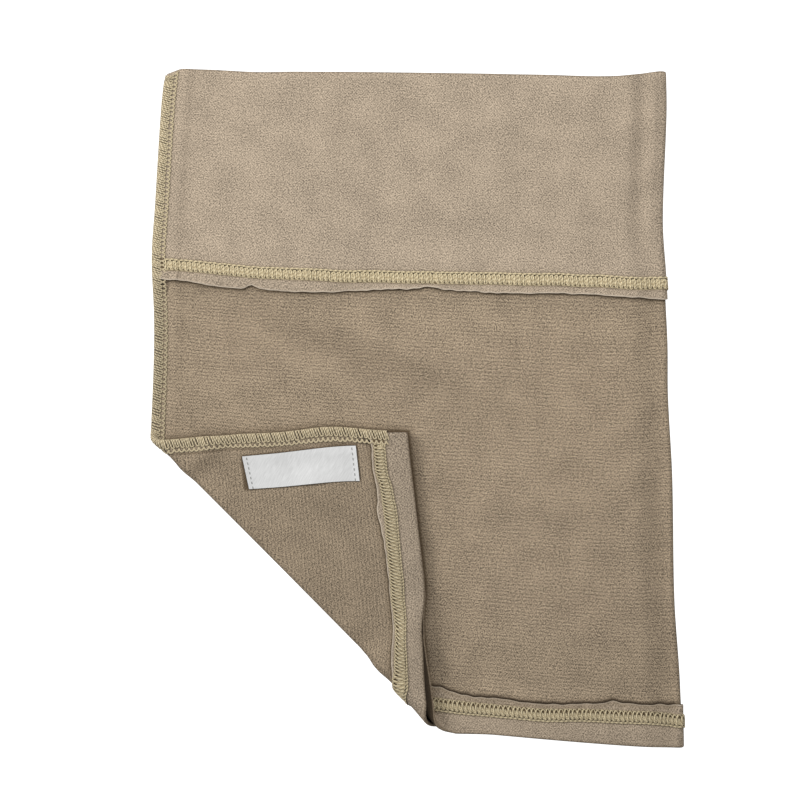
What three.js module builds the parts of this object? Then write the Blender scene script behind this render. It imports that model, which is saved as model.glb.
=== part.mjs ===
// Underscarf cap, worn under a hijab: a jersey tube that is open at both ends, as it lies flat and
// inside out, with the seam corner of its narrow end folded up over the front.
// Millimetres. +Z is up, +X points from the side seam to the folded side, and +Y to the wide hem.

import * as THREE from 'three';
import { mergeVertices } from 'three/addons/utils/BufferGeometryUtils.js';

const { clamp, lerp, smoothstep } = THREE.MathUtils;

// The tube
const tube_length = 330;
const tube_width = 266;
const jersey_thickness = 0.8;
const wide_hem_depth = 109;
const narrow_hem_depth = 18.5;

// How it lies: the gaps between the front and the back wall, and the raised middle
const seam_gap = 0.3;
const wall_gap = 0.6;
const side_fold_gap = 3;
const loft_height = 6.8;
const loft_slope_length = 34;
const side_dip_length = 32;

// The folded corner, measured from the corner where the side seam meets the narrow hem
const fold_up_seam = 135;
const fold_along_hem = 134;
const fold_roll_gap = 1;
const fold_bow = 0.3;
const flap_settle_length = 55;
const flap_rest_gap = 0.6;

// Threads and label
const clearance = 0.3;
const overlock_looseness = 0.2;
const label_looseness = 0.2;
const thread_thickness = 0.4;
const overlock_width = 5.5;
const coverstitch_width = 6;
const wide_stitch_to_raw_edge = 4.5;
const narrow_stitch_to_raw_edge = 2.5;
const label_length = 60;
const label_width = 16.4;
const label_thickness = 0.35;
const label_from_hem = 29;
const label_from_seam = 8.1;
const label_slant = 2.8;

// The outline lying flat with the corner unfolded. Sides: shares of the tube's width from its
// middle line, at shares of its length from the narrow hem. Ends: shares of the tube's length from
// its middle line, at shares of the way across from the seam.
const side_outline = [
  { up: 0.0, seam: -0.505, fold: 0.499 },
  { up: 0.1, seam: -0.513, fold: 0.496 },
  { up: 0.22, seam: -0.504, fold: 0.486 },
  { up: 0.4, seam: -0.495, fold: 0.482 },
  { up: 0.52, seam: -0.489, fold: 0.474 },
  { up: 0.6, seam: -0.488, fold: 0.473 },
  { up: 0.7, seam: -0.492, fold: 0.466 },
  { up: 0.78, seam: -0.486, fold: 0.46 },
  { up: 0.94, seam: -0.474, fold: 0.467 },
  { up: 1.0, seam: -0.466, fold: 0.466 },
];
const end_outline = [
  { across: 0.0, narrow: -0.436, wide: 0.512 },
  { across: 0.25, narrow: -0.461, wide: 0.506 },
  { across: 0.5, narrow: -0.487, wide: 0.503 },
  { across: 0.75, narrow: -0.505, wide: 0.5 },
  { across: 0.9, narrow: -0.514, wide: 0.498 },
  { across: 1.0, narrow: -0.517, wide: 0.507 },
];

// Sizes that follow from those above
const layer_pitch = jersey_thickness + clearance;
const overlock_gap = clearance + overlock_looseness;
const thread_pitch = thread_thickness + overlock_gap;
const wide_raw_edge = tube_length - wide_hem_depth;
const narrow_stitch_line = narrow_hem_depth - narrow_stitch_to_raw_edge - coverstitch_width / 2;
const wide_stitch_line = wide_raw_edge + wide_stitch_to_raw_edge + coverstitch_width / 2;
const seam_flat_width = overlock_width + 2 * clearance;
const turn_radius = layer_pitch / 2;
const turn_depth = turn_radius + jersey_thickness / 2;

// How far the layers above and below ease down again beside a hem, a thread band and the seam
const hem_ease = 12;
const overlock_ease = 4;
const raw_edge_margin = 1;
const thread_ease = 9;
const thread_margin = 2;
const flap_clear = 14;
const roll_probes = [2, -3, -8, -13];

// How finely the curved surfaces are faceted
const row_step = 18;
const roll_row_step = 1.25;
const flap_row_shares = [0.03, 0.08, 0.15, 0.25, 0.36, 0.55, 0.8];
const turn_steps = 4;
const flap_columns = 6;
const flap_column_growth = 1.4;
const roll_columns = 8;
const wall_columns = 8;
const side_fold_columns = 6;
const seam_columns = 4;

// A smooth curve through one column of a table, at x in its key column
function curveThrough(table, key, column, x) {
  const last = table.length - 1;
  const inside = clamp(x, table[0][key], table[last][key]);
  let i = 0;
  while (i < last - 1 && inside > table[i + 1][key]) i += 1;
  const slope = (k) => {
    const from = table[Math.max(k - 1, 0)];
    const to = table[Math.min(k + 1, last)];
    return (to[column] - from[column]) / (to[key] - from[key]);
  };
  const span = table[i + 1][key] - table[i][key];
  const t = (inside - table[i][key]) / span;
  const rise = t * t * (3 - 2 * t);
  return lerp(table[i][column], table[i + 1][column], rise)
    + span * t * (1 - t) * ((1 - t) * slope(i) - t * slope(i + 1));
}

const seamSide = (v) => tube_width * curveThrough(side_outline, 'up', 'seam', v / tube_length);
const foldSide = (v) => tube_width * curveThrough(side_outline, 'up', 'fold', v / tube_length);
const foldCentre = (v) => foldSide(v) - jersey_thickness - side_fold_gap / 2;

// y of the point at x on the line that runs round the tube at v from the narrow hem's edge
function lineY(x, v) {
  const across = (x - seamSide(v)) / (foldSide(v) - seamSide(v));
  const narrow = curveThrough(end_outline, 'across', 'narrow', across);
  const wide = curveThrough(end_outline, 'across', 'wide', across);
  return tube_length * lerp(narrow, wide, v / tube_length);
}

// v of the line that passes through (x, y)
function lineThrough(x, y) {
  let v = tube_length * (y / tube_length + 0.5);
  for (let pass = 0; pass < 3; pass += 1) v = clamp(v + y - lineY(x, v), 0, tube_length);
  return v;
}

// 1 where the walls have a turned hem outside them, easing to 0 past its raw edge
function hemCover(v) {
  const narrow = 1 - smoothstep(v, narrow_hem_depth + raw_edge_margin, narrow_hem_depth + hem_ease);
  const wide = smoothstep(v, wide_raw_edge - hem_ease, wide_raw_edge - raw_edge_margin);
  return narrow + wide;
}

// 1 where threads lie outside the cloth, easing to 0 beside them
function threadCover(x, v) {
  const beside = coverstitch_width / 2 + thread_margin;
  const band = (line) => 1 - smoothstep(Math.abs(v - line), beside, beside + thread_ease);
  const seam_edge = seamSide(v) + overlock_width + thread_margin;
  const seam = 1 - smoothstep(x, seam_edge, seam_edge + thread_ease);
  return 1 - (1 - band(narrow_stitch_line)) * (1 - band(wide_stitch_line)) * (1 - seam);
}

// The gap between the walls: closed at the seam and round the folded corner, raised between
function gapBetweenWalls(x, v) {
  const closed = lerp(seam_gap, wall_gap, smoothstep(x - seamSide(v), seam_flat_width, 2 * seam_flat_width));
  const corner_end = seamSide(0) + fold_along_hem + flap_clear;
  const upper_start = seamSide(v) + seam_flat_width;
  const above_corner = smoothstep(v, fold_up_seam + flap_clear, fold_up_seam + 3 * flap_clear);
  const start = lerp(corner_end, upper_start, above_corner);
  const raised = lerp(closed, loft_height, smoothstep(x, start, start + loft_slope_length));
  const to_side = foldCentre(v) - x;
  return lerp(side_fold_gap, raised, smoothstep(to_side, side_dip_length / 4, side_dip_length));
}

const backInner = (x, v) => jersey_thickness + layer_pitch * hemCover(v) + thread_pitch * threadCover(x, v);
const frontInner = (x, v) => backInner(x, v) + gapBetweenWalls(x, v);
const stackTop = (x, v) => frontInner(x, v) + backInner(x, v);

// The line that the corner is folded about: origin, direction and the normal towards the body
const fold_corner = new THREE.Vector2(seamSide(0), lineY(seamSide(0), 0));
const fold_start = fold_corner.clone().add(new THREE.Vector2(0, fold_up_seam));
const fold_end = fold_corner.clone().add(new THREE.Vector2(fold_along_hem, 0));
const fold_along = fold_end.clone().sub(fold_start);
const fold_length = fold_along.length();
fold_along.normalize();
const fold_inward = new THREE.Vector2(-fold_along.y, fold_along.x);

// The top of the stack of layers at one place by the fold, along it and inward of it
function topBeside(along, inward) {
  const x = fold_start.x + fold_along.x * along + fold_inward.x * inward;
  const y = fold_start.y + fold_along.y * along + fold_inward.y * inward;
  const v = lineThrough(x, y);
  return stackTop(Math.max(x, seamSide(v)), v);
}

// At one place along the fold: the height of the roll's centre, the radius of its middle layer, and
// the top of the stack where the cloth leaves the roll
function rollAt(along) {
  const top = Math.max(...roll_probes.map((inward) => topBeside(along, inward)));
  const centre = top + fold_roll_gap;
  const middle = centre - top / 2;
  return { centre, middle, leaving_top: topBeside(along, -Math.PI * middle) };
}

// Folds a point of the flat tube: beyond the fold line it goes round the roll, and past half a turn
// it lies back over the front wall, upside down
function foldCorner(x, y, z) {
  const from_start = new THREE.Vector2(x, y).sub(fold_start);
  const inward = from_start.dot(fold_inward);
  const along = from_start.dot(fold_along);
  const bow = fold_bow * Math.sin(Math.PI * clamp(along / fold_length, 0, 1));
  let reach = inward;
  let height = z;
  if (inward < 0) {
    const roll = rollAt(along);
    const angle = Math.min(-inward / roll.middle, Math.PI);
    const beyond = Math.max(-inward - Math.PI * roll.middle, 0);
    reach = beyond - (roll.centre - z) * Math.sin(angle);
    height = roll.centre - (roll.centre - z) * Math.cos(angle);
    if (beyond > 0) {
      const own_top = topBeside(along, inward);
      const lifted = height + own_top - roll.leaving_top;
      const settled = topBeside(along, beyond) + flap_rest_gap + own_top - z;
      height = lerp(lifted, settled, smoothstep(beyond, 0, flap_settle_length));
    }
  }
  const bowed = reach + bow * Math.exp(-((Math.max(reach, 0) / flap_settle_length) ** 2));
  return new THREE.Vector3(
    fold_start.x + fold_inward.x * bowed + fold_along.x * along,
    fold_start.y + fold_inward.y * bowed + fold_along.y * along,
    height,
  );
}

// x where the line at v crosses the fold's own line at a distance inward of it
function crossing(v, inward) {
  let low = seamSide(v);
  let high = foldCentre(v);
  for (let pass = 0; pass < 30; pass += 1) {
    const x = (low + high) / 2;
    const place = new THREE.Vector2(x, lineY(x, v)).sub(fold_start);
    if (place.dot(fold_inward) < inward) low = x;
    else high = x;
  }
  return low;
}

// The columns of one line round the tube, from the front wall's seam edge, round the folded side,
// to the back wall's seam edge. Columns of the flap and the roll close up on the seam where the line
// doesn't reach them. first is how far from the seam edge the first and last column lie.
function columnsAt(v, first) {
  const start = seamSide(v) + first;
  const meeting = crossing(v, 0);
  const along = new THREE.Vector2(meeting, lineY(meeting, v)).sub(fold_start).dot(fold_along);
  const roll_width = Math.PI * rollAt(along).middle;
  const flap_end = Math.max(crossing(v, -roll_width), start);
  const flap_start = clamp(seamSide(v) + seam_flat_width, start, flap_end);
  const wall = [start];
  for (let i = flap_columns; i > 0; i -= 1) {
    wall.push(lerp(flap_end, flap_start, (i / flap_columns) ** flap_column_growth));
  }
  for (let i = 0; i < roll_columns; i += 1) {
    wall.push(Math.max(crossing(v, -roll_width * (1 - i / roll_columns)), start));
  }
  wall.push(Math.max(meeting, start));
  const body_start = Math.max(meeting, seamSide(v) + seam_flat_width);
  for (let i = 0; i <= wall_columns; i += 1) wall.push(lerp(body_start, foldCentre(v), i / wall_columns));
  const columns = wall.map((x) => ({ x, turn: 0 }));
  for (let i = 1; i < side_fold_columns; i += 1) {
    columns.push({ x: foldCentre(v), turn: (Math.PI * i) / side_fold_columns });
  }
  return columns.concat(wall.reverse().map((x) => ({ x, turn: Math.PI })));
}

// The lying place of a point of the tube: on one column, at v, and out from the wall's inner face
function placeOnTube(column, v, out) {
  const low = backInner(column.x, v);
  const half = (frontInner(column.x, v) - low) / 2;
  const x = column.x + (half + out) * Math.sin(column.turn);
  return foldCorner(x, lineY(column.x, v), low + half + (half + out) * Math.cos(column.turn));
}

// A closed solid between two grids of points, face and back, of the same size
function solidBetween(face, back) {
  const rows = face.length;
  const columns = face[0].length;
  const positions = [...face.flat(), ...back.flat()].flatMap((p) => [p.x, p.y, p.z]);
  const corner = (side, row, column) => (side * rows + row) * columns + column;
  const index = [];
  const quad = (a, b, c, d) => index.push(a, b, c, a, c, d);
  for (let r = 0; r < rows - 1; r += 1) {
    for (let c = 0; c < columns - 1; c += 1) {
      quad(corner(0, r, c), corner(0, r, c + 1), corner(0, r + 1, c + 1), corner(0, r + 1, c));
      quad(corner(1, r, c), corner(1, r + 1, c), corner(1, r + 1, c + 1), corner(1, r, c + 1));
    }
  }
  for (let r = 0; r < rows - 1; r += 1) {
    quad(corner(0, r, 0), corner(0, r + 1, 0), corner(1, r + 1, 0), corner(1, r, 0));
    const c = columns - 1;
    quad(corner(0, r + 1, c), corner(0, r, c), corner(1, r, c), corner(1, r + 1, c));
  }
  for (let c = 0; c < columns - 1; c += 1) {
    quad(corner(0, 0, c + 1), corner(0, 0, c), corner(1, 0, c), corner(1, 0, c + 1));
    const r = rows - 1;
    quad(corner(0, r, c), corner(0, r, c + 1), corner(1, r, c + 1), corner(1, r, c));
  }
  return closedGeometry(positions, index);
}

// Merges the corners that coincide and leaves out the triangles that closed up
function closedGeometry(positions, index) {
  const loose = new THREE.BufferGeometry();
  loose.setAttribute('position', new THREE.Float32BufferAttribute(positions, 3));
  loose.setIndex(index);
  const geometry = mergeVertices(loose, 1e-3);
  const merged = Array.from(geometry.index.array);
  const kept = [];
  for (let i = 0; i < merged.length; i += 3) {
    const [a, b, c] = merged.slice(i, i + 3);
    if (a !== b && b !== c && c !== a) kept.push(a, b, c);
  }
  geometry.setIndex(kept);
  geometry.computeVertexNormals();
  return geometry;
}

// Lengths from one end to the other that take in every given stop, at most row_step apart
function stopsBetween(from, to, stops) {
  const inner = stops.filter((v) => v > from + 0.5 && v < to - 0.5);
  const ends = [from, ...inner.sort((a, b) => a - b), to];
  const lengths = [from];
  for (let i = 1; i < ends.length; i += 1) {
    const steps = Math.ceil((ends[i] - ends[i - 1]) / row_step);
    for (let k = 1; k <= steps; k += 1) lengths.push(lerp(ends[i - 1], ends[i], k / steps));
  }
  return lengths;
}

// Every length at which the layers change: the bands, the raw edges and where the roll meets the seam
const half_band = coverstitch_width / 2;
const layer_stops = [
  narrow_stitch_line - half_band, narrow_stitch_line + half_band,
  narrow_hem_depth, narrow_hem_depth + hem_ease / 2, narrow_hem_depth + hem_ease,
  wide_raw_edge - hem_ease, wide_raw_edge - hem_ease / 2, wide_raw_edge,
  wide_stitch_line - half_band, wide_stitch_line + half_band,
  wide_stitch_line + half_band + thread_margin + thread_ease,
];
const roll_reach = Math.PI * rollAt(0).middle * Math.SQRT2;
const roll_end = fold_up_seam - roll_reach - 2 * roll_row_step;
for (let v = roll_end; v < fold_up_seam + roll_row_step; v += roll_row_step) layer_stops.push(v);
for (const share of flap_row_shares) layer_stops.push(roll_end - share * flap_settle_length);

// The jersey: one panel whose two long edges meet at the seam. Its line of section along the tube
// runs from the wide hem's raw edge up outside the wall, turns in, runs down as the wall, turns out
// and ends at the narrow hem's raw edge. v and out are its middle, and tilt is its normal.
function jerseySection() {
  const hem_out = layer_pitch + jersey_thickness / 2;
  const wall_out = jersey_thickness / 2;
  const mid_out = (hem_out + wall_out) / 2;
  const top = tube_length - turn_depth;
  const section = [];
  for (const v of stopsBetween(wide_raw_edge, top, layer_stops)) {
    section.push({ v, out: hem_out, tilt: [0, -1] });
  }
  for (let i = 1; i < turn_steps; i += 1) {
    const a = (Math.PI * i) / turn_steps;
    section.push({
      v: top + turn_radius * Math.sin(a),
      out: mid_out + turn_radius * Math.cos(a),
      tilt: [-Math.sin(a), -Math.cos(a)],
    });
  }
  for (const v of stopsBetween(turn_depth, top, layer_stops).reverse()) {
    section.push({ v, out: wall_out, tilt: [0, 1] });
  }
  for (let i = 1; i < turn_steps; i += 1) {
    const a = (Math.PI * i) / turn_steps;
    section.push({
      v: turn_depth - turn_radius * Math.sin(a),
      out: mid_out - turn_radius * Math.cos(a),
      tilt: [Math.sin(a), Math.cos(a)],
    });
  }
  for (const v of stopsBetween(turn_depth, narrow_hem_depth, layer_stops)) {
    section.push({ v, out: hem_out, tilt: [0, -1] });
  }
  return section;
}

function jerseyTube() {
  const half = jersey_thickness / 2;
  const grid = (side) => jerseySection().map(({ v, out, tilt }) => columnsAt(v, 0).map(
    (column) => placeOnTube(column, v + side * half * tilt[0], out + side * half * tilt[1]),
  ));
  return solidBetween(grid(-1), grid(1));
}

// A flat band of thread round the tube on a hem, ending where the side seam's threads begin
function coverstitch(line) {
  const first = overlock_width + clearance;
  const under = layer_pitch + jersey_thickness + clearance;
  const grid = (out) => [line - half_band, line + half_band].map(
    (v) => columnsAt(v, first).map((column) => placeOnTube(column, v, out)),
  );
  return solidBetween(grid(under + thread_thickness), grid(under));
}

// Threads wrapped round both raw edges at the side seam: over the front wall, down past the edges
// and back under the back wall, outside the hems where these are sewn in
function sideSeamOverlock() {
  const hemOut = (v) => {
    const narrow = 1 - smoothstep(v, narrow_hem_depth + raw_edge_margin, narrow_hem_depth + overlock_ease);
    const wide = smoothstep(v, wide_raw_edge - overlock_ease, wide_raw_edge - raw_edge_margin);
    return jersey_thickness + layer_pitch * (narrow + wide);
  };
  const grid = (extra) => stopsBetween(clearance, tube_length - clearance, layer_stops).map((v) => {
    const edge = seamSide(v);
    const out = hemOut(v) + overlock_gap + extra;
    const top = frontInner(edge, v) + out;
    const low = backInner(edge, v) - out;
    const over = [];
    for (let i = 0; i < seam_columns; i += 1) over.push(edge + overlock_width * (1 - i / seam_columns));
    over.push(edge - overlock_gap - extra);
    const place = (x, z) => foldCorner(x, lineY(x, v), z);
    return [...over.map((x) => place(x, top)), ...over.reverse().map((x) => place(x, low))];
  });
  return solidBetween(grid(0), grid(thread_thickness));
}

// A woven label on the back wall's outside, which the folded corner turns up
function wovenLabel() {
  const grid = (out) => stopsBetween(label_from_hem, label_from_hem + label_length, layer_stops).map(
    (v) => [0, 1 / 3, 2 / 3, 1].map((share) => {
      const slanted = (label_slant * (v - label_from_hem)) / label_length;
      const x = seamSide(v) + label_from_seam + slanted + label_width * (1 - share);
      return placeOnTube({ x, turn: Math.PI }, v, out);
    }),
  );
  const under = jersey_thickness + clearance + label_looseness;
  return solidBetween(grid(under + label_thickness), grid(under));
}

const jersey = new THREE.MeshStandardMaterial({ color: 0x9f8e7a, roughness: 0.95, metalness: 0 });
const seam_thread = new THREE.MeshStandardMaterial({ color: 0xb5a78c, roughness: 0.8, metalness: 0 });
const hem_thread = new THREE.MeshStandardMaterial({ color: 0xbcae92, roughness: 0.8, metalness: 0 });
const satin = new THREE.MeshStandardMaterial({ color: 0xe4e2df, roughness: 0.45, metalness: 0 });

function piece(name, geometry, material) {
  const mesh = new THREE.Mesh(geometry, material);
  mesh.name = name;
  return mesh;
}

const cap = new THREE.Group();
cap.add(
  piece('jersey_tube', jerseyTube(), jersey),
  piece('side_seam_overlock', sideSeamOverlock(), seam_thread),
  piece('wide_hem_coverstitch', coverstitch(wide_stitch_line), hem_thread),
  piece('narrow_hem_coverstitch', coverstitch(narrow_stitch_line), hem_thread),
  piece('woven_label', wovenLabel(), satin),
);

// The origin is the middle of the lying cap, on the surface that it lies on
const box = new THREE.Box3().setFromObject(cap);
cap.position.set(-(box.min.x + box.max.x) / 2, -(box.min.y + box.max.y) / 2, -box.min.z);

export default cap;
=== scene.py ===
import bpy
import numpy as np
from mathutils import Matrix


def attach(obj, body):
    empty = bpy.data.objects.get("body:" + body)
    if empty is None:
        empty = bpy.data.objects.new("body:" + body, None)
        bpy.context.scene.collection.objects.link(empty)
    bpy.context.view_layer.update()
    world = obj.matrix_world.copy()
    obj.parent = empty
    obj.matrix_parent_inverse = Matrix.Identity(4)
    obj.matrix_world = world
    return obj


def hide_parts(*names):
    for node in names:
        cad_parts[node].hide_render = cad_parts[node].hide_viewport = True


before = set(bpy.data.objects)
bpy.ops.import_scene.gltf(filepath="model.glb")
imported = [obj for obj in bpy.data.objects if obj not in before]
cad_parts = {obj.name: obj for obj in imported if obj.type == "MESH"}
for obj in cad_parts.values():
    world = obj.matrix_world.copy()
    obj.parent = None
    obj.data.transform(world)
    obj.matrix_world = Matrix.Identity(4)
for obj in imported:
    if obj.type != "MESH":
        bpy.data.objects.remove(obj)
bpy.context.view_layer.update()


# Camera
# It looks straight down at the lying cap from far above, so that the 800 pixels of the picture
# show 400 mm of it and the sides of the cloth don't lean.
camera_height = 2.0
camera_field = 0.4
camera_centre = (-0.00838, 0.00384)

scene = bpy.context.scene
camera_lens = bpy.data.cameras.new("camera")
camera_lens.sensor_width = 36
camera_lens.lens = camera_lens.sensor_width * camera_height / camera_field
camera = bpy.data.objects.new("camera", camera_lens)
camera.location = (*camera_centre, camera_height)
scene.collection.objects.link(camera)
scene.camera = camera


# Light and floor
# A large soft lamp far off at the left draws the edges and slopes, a nearer one above the wide hem
# makes the cloth darker towards the narrow end, and a pale sky fills the rest. The floor is a light
# table, pure white and without shadows to the camera, that throws little light at the cloth.
left_lamp = {"way": (-0.74, 0.32, 0.6), "distance": 3.2, "width": 1.15, "watts": 52}
upper_lamp = {"way": (0.1, 0.75, 0.9), "distance": 1.18, "width": 0.5, "watts": 4.5}
sky_strength = 0.5
floor_side = 3.0
floor_glow = 1.1


def linear(code):
    """An sRGB hex colour as linear red, green, blue and an alpha of 1."""
    share = np.array([int(code[i:i + 2], 16) for i in (1, 3, 5)]) / 255
    light = np.where(share <= 0.04045, share / 12.92, ((share + 0.055) / 1.055) ** 2.4)
    return (*light.tolist(), 1.0)


def add_node(tree, kind, inputs=None, **settings):
    """Adds one node: settings are its properties, and inputs the sockets or values it takes."""
    made = tree.nodes.new(kind)
    for name, value in settings.items():
        setattr(made, name, value)
    for name, value in (inputs or {}).items():
        if isinstance(value, bpy.types.NodeSocket):
            tree.links.new(value, made.inputs[name])
        else:
            made.inputs[name].default_value = value
    return made


def calculate(tree, operation, *values):
    """The result of one Math node, from sockets and numbers."""
    return add_node(tree, "ShaderNodeMath", dict(enumerate(values)), operation=operation).outputs[0]


def new_material(name, settings):
    """A material with values set on the sockets of its shader, and its tree."""
    material = bpy.data.materials.new(name)
    material.use_nodes = True
    for socket, value in settings.items():
        material.node_tree.nodes["Principled BSDF"].inputs[socket].default_value = value
    return material, material.node_tree


def hang_lamp(name, way, distance, width, watts):
    """A round soft lamp in one direction from the cap, turned towards it."""
    lamp = bpy.data.lights.new(name, "AREA")
    lamp.shape = "DISK"
    lamp.size = width
    lamp.energy = watts
    hung = bpy.data.objects.new(name, lamp)
    way = np.array(way) / np.linalg.norm(way)
    hung.location = way * distance
    hung.rotation_euler = (np.arccos(way[2]), 0, np.arctan2(way[1], way[0]) + np.pi / 2)
    scene.collection.objects.link(hung)


hang_lamp("left_lamp", **left_lamp)
hang_lamp("upper_lamp", **upper_lamp)

sky = bpy.data.worlds.new("studio_sky")
sky.use_nodes = True
sky.node_tree.nodes["Background"].inputs["Color"].default_value = (1, 1, 1, 1)
sky.node_tree.nodes["Background"].inputs["Strength"].default_value = sky_strength
scene.world = sky
scene.view_settings.view_transform = "Standard"

floor_mesh = bpy.data.meshes.new("floor")
floor_corners = np.array([(-1, -1, 0), (1, -1, 0), (1, 1, 0), (-1, 1, 0)]) * floor_side / 2
floor_mesh.from_pydata(floor_corners, [], [(0, 1, 2, 3)])
floor = bpy.data.objects.new("floor", floor_mesh)
scene.collection.objects.link(floor)

# Opal acrylic, lit from below only for the camera
acrylic, tree = new_material("opal_acrylic_light_table", {
    "Base Color": linear("#8c8c8c"), "Roughness": 0.8, "Emission Color": (1, 1, 1, 1)})
seen_by = add_node(tree, "ShaderNodeLightPath")
glow = calculate(tree, "MULTIPLY", seen_by.outputs["Is Camera Ray"], floor_glow)
tree.links.new(glow, tree.nodes["Principled BSDF"].inputs["Emission Strength"])
floor_mesh.materials.append(acrylic)


# The jersey panel
# One rectangle of fine viscose jersey, closed into a tube by the side seam. Its wide end is turned
# over by 109 mm and its narrow end by 18.5 mm, and the tube lies inside out, so the walls show the
# purl side and the hems the smooth side. The map below lays the tube flat and folds its corner up.
tube_length = 330
tube_width = 266
jersey_thickness = 0.8
wide_hem_depth = 109
narrow_hem_depth = 18.5
seam_gap = 0.3
wall_gap = 0.6
side_fold_gap = 3
loft_height = 6.8
loft_slope_length = 60
loft_turn_length = 90
side_dip_start = 1
side_dip_end = 17
fold_up_seam = 135
fold_along_hem = 134
fold_roll_gap = 1
fold_bow = 0.3
flap_settle_length = 55
flap_rest_gap = 0.6
flap_clear = 14
clearance = 0.3
overlock_width = 5.5
coverstitch_width = 6
wide_stitch_to_raw_edge = 4.5
narrow_stitch_to_raw_edge = 2.5
layer_pitch = jersey_thickness + clearance
thread_pitch = 0.9
wide_raw_edge = tube_length - wide_hem_depth
narrow_stitch_line = narrow_hem_depth - narrow_stitch_to_raw_edge - coverstitch_width / 2
wide_stitch_line = wide_raw_edge + wide_stitch_to_raw_edge + coverstitch_width / 2
seam_flat_width = overlock_width + 2 * clearance
side_radius = jersey_thickness + side_fold_gap / 2
turn_radius = layer_pitch / 2
turn_depth = turn_radius + jersey_thickness / 2
hem_ease = 12
raw_edge_margin = 1
thread_ease = 9
thread_margin = 2
# How far the frame's origin lies from the middle of the flat outline
origin_shift = (-0.588, 0.784)

# Bumps, each a height, a place and a width: beside the wide hem's folded side and beside the seam,
# by the distance from it; along the seam, where it springs out; and round the tube, where a raw
# edge curls
side_grooves = ((0.9, 5.5, 2.4), (-0.9, 12, 3.5))
seam_ridge = (0.7, 10.5, 2.2)
seam_springs = ((1.3, 0, 12), (1.1, 43, 16), (0.8, 103, 12))
wide_edge_curls = ((2.3, 49, 3.2), (1.3, 137, 7))
narrow_edge_curl = (1.1, 234, 3.5)
pucker_width = 9
corner_draw = 3
peek_depth = 3.6

# The flat outline, as shares of the tube's width at shares of its length from the narrow end, and
# the two ends, as shares of its length at shares of the way across from the seam
side_up = [0, 0.1, 0.22, 0.4, 0.52, 0.6, 0.7, 0.78, 0.94, 1]
seam_share = [-0.505, -0.513, -0.504, -0.495, -0.489, -0.488, -0.492, -0.486, -0.474, -0.466]
fold_share = [0.499, 0.496, 0.486, 0.482, 0.474, 0.473, 0.466, 0.46, 0.467, 0.466]
end_across = [0, 0.09, 0.18, 0.26, 0.5, 0.75, 0.9, 1]
narrow_share = [-0.436, -0.445, -0.454, -0.462, -0.487, -0.505, -0.514, -0.517]
wide_share = [0.511, 0.5085, 0.5043, 0.5045, 0.503, 0.5, 0.498, 0.507]


def smooth(x, low, high):
    """0 below low, 1 above high, and the S-shaped rise 3t^2 - 2t^3 between them."""
    t = np.clip((x - low) / (high - low), 0, 1)
    return t * t * (3 - 2 * t)


def mix(a, b, share):
    """The straight blend from a to b."""
    return a + (b - a) * share


def curve_through(keys, values, x):
    """A cubic Hermite curve through the points; each slope is the chord between the neighbours."""
    keys, values = np.array(keys), np.array(values)
    rise, run = (line[2:] - line[:-2] for line in (np.pad(values, 1, "edge"), np.pad(keys, 1, "edge")))
    slopes = rise / run
    x = np.clip(x, keys[0], keys[-1])
    i = np.clip(np.searchsorted(keys, x) - 1, 0, len(keys) - 2)
    span = keys[i + 1] - keys[i]
    t = (x - keys[i]) / span
    return (mix(values[i], values[i + 1], t * t * (3 - 2 * t))
            + span * t * (1 - t) * ((1 - t) * slopes[i] - t * slopes[i + 1]))


def soft_waves(a, seed, wavelength, b=0, count=9):
    """A smooth random field near -1 to 1: the sum of sine waves in seeded directions and phases."""
    draw = np.random.default_rng(seed)
    angle = draw.uniform(0, np.pi, count)
    number = 2 * np.pi / (wavelength * draw.uniform(0.7, 1.4, count))
    phase = draw.uniform(0, 2 * np.pi, count)
    across = np.multiply.outer(a, np.cos(angle) * number)
    along = np.multiply.outer(b, np.sin(angle) * number)
    return np.sin(across + along + phase).sum(-1) / np.sqrt(count)


def bells(x, *bumps):
    """The sum of bell-shaped bumps in x, each given by its height, its place and its width."""
    return sum(height * np.exp(-((x - place) / width) ** 2) for height, place, width in bumps)


def seam_side(v):
    return tube_width * curve_through(side_up, seam_share, v / tube_length)


def fold_side(v):
    return tube_width * curve_through(side_up, fold_share, v / tube_length)


def fold_centre(v):
    return fold_side(v) - side_radius


def line_y(x, v):
    """y of the point at x on the line that runs round the tube at v from the narrow end."""
    across = (x - seam_side(v)) / (fold_side(v) - seam_side(v))
    narrow = curve_through(end_across, narrow_share, across)
    wide = curve_through(end_across, wide_share, across)
    return tube_length * mix(narrow, wide, v / tube_length)


def line_through(x, y):
    """v of the line through (x, y), by three passes of correcting v with the miss in y."""
    v = tube_length * (y / tube_length + 0.5)
    for _ in range(3):
        v = np.clip(v + y - line_y(x, v), 0, tube_length)
    return v


def hem_cover(v):
    """1 where a turned hem lies outside the walls, easing to 0 past its raw edge."""
    narrow = 1 - smooth(v, narrow_hem_depth + raw_edge_margin, narrow_hem_depth + hem_ease)
    wide = smooth(v, wide_raw_edge - hem_ease, wide_raw_edge - raw_edge_margin)
    return narrow + wide


def thread_cover(x, v):
    """1 where threads lie outside the cloth, easing to 0 beside them."""
    beside = coverstitch_width / 2 + thread_margin
    narrow = 1 - smooth(abs(v - narrow_stitch_line), beside, beside + thread_ease)
    wide = 1 - smooth(abs(v - wide_stitch_line), beside, beside + thread_ease)
    seam_edge = seam_side(v) + overlock_width + thread_margin
    seam = 1 - smooth(x, seam_edge, seam_edge + thread_ease)
    return 1 - (1 - narrow) * (1 - wide) * (1 - seam)


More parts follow.
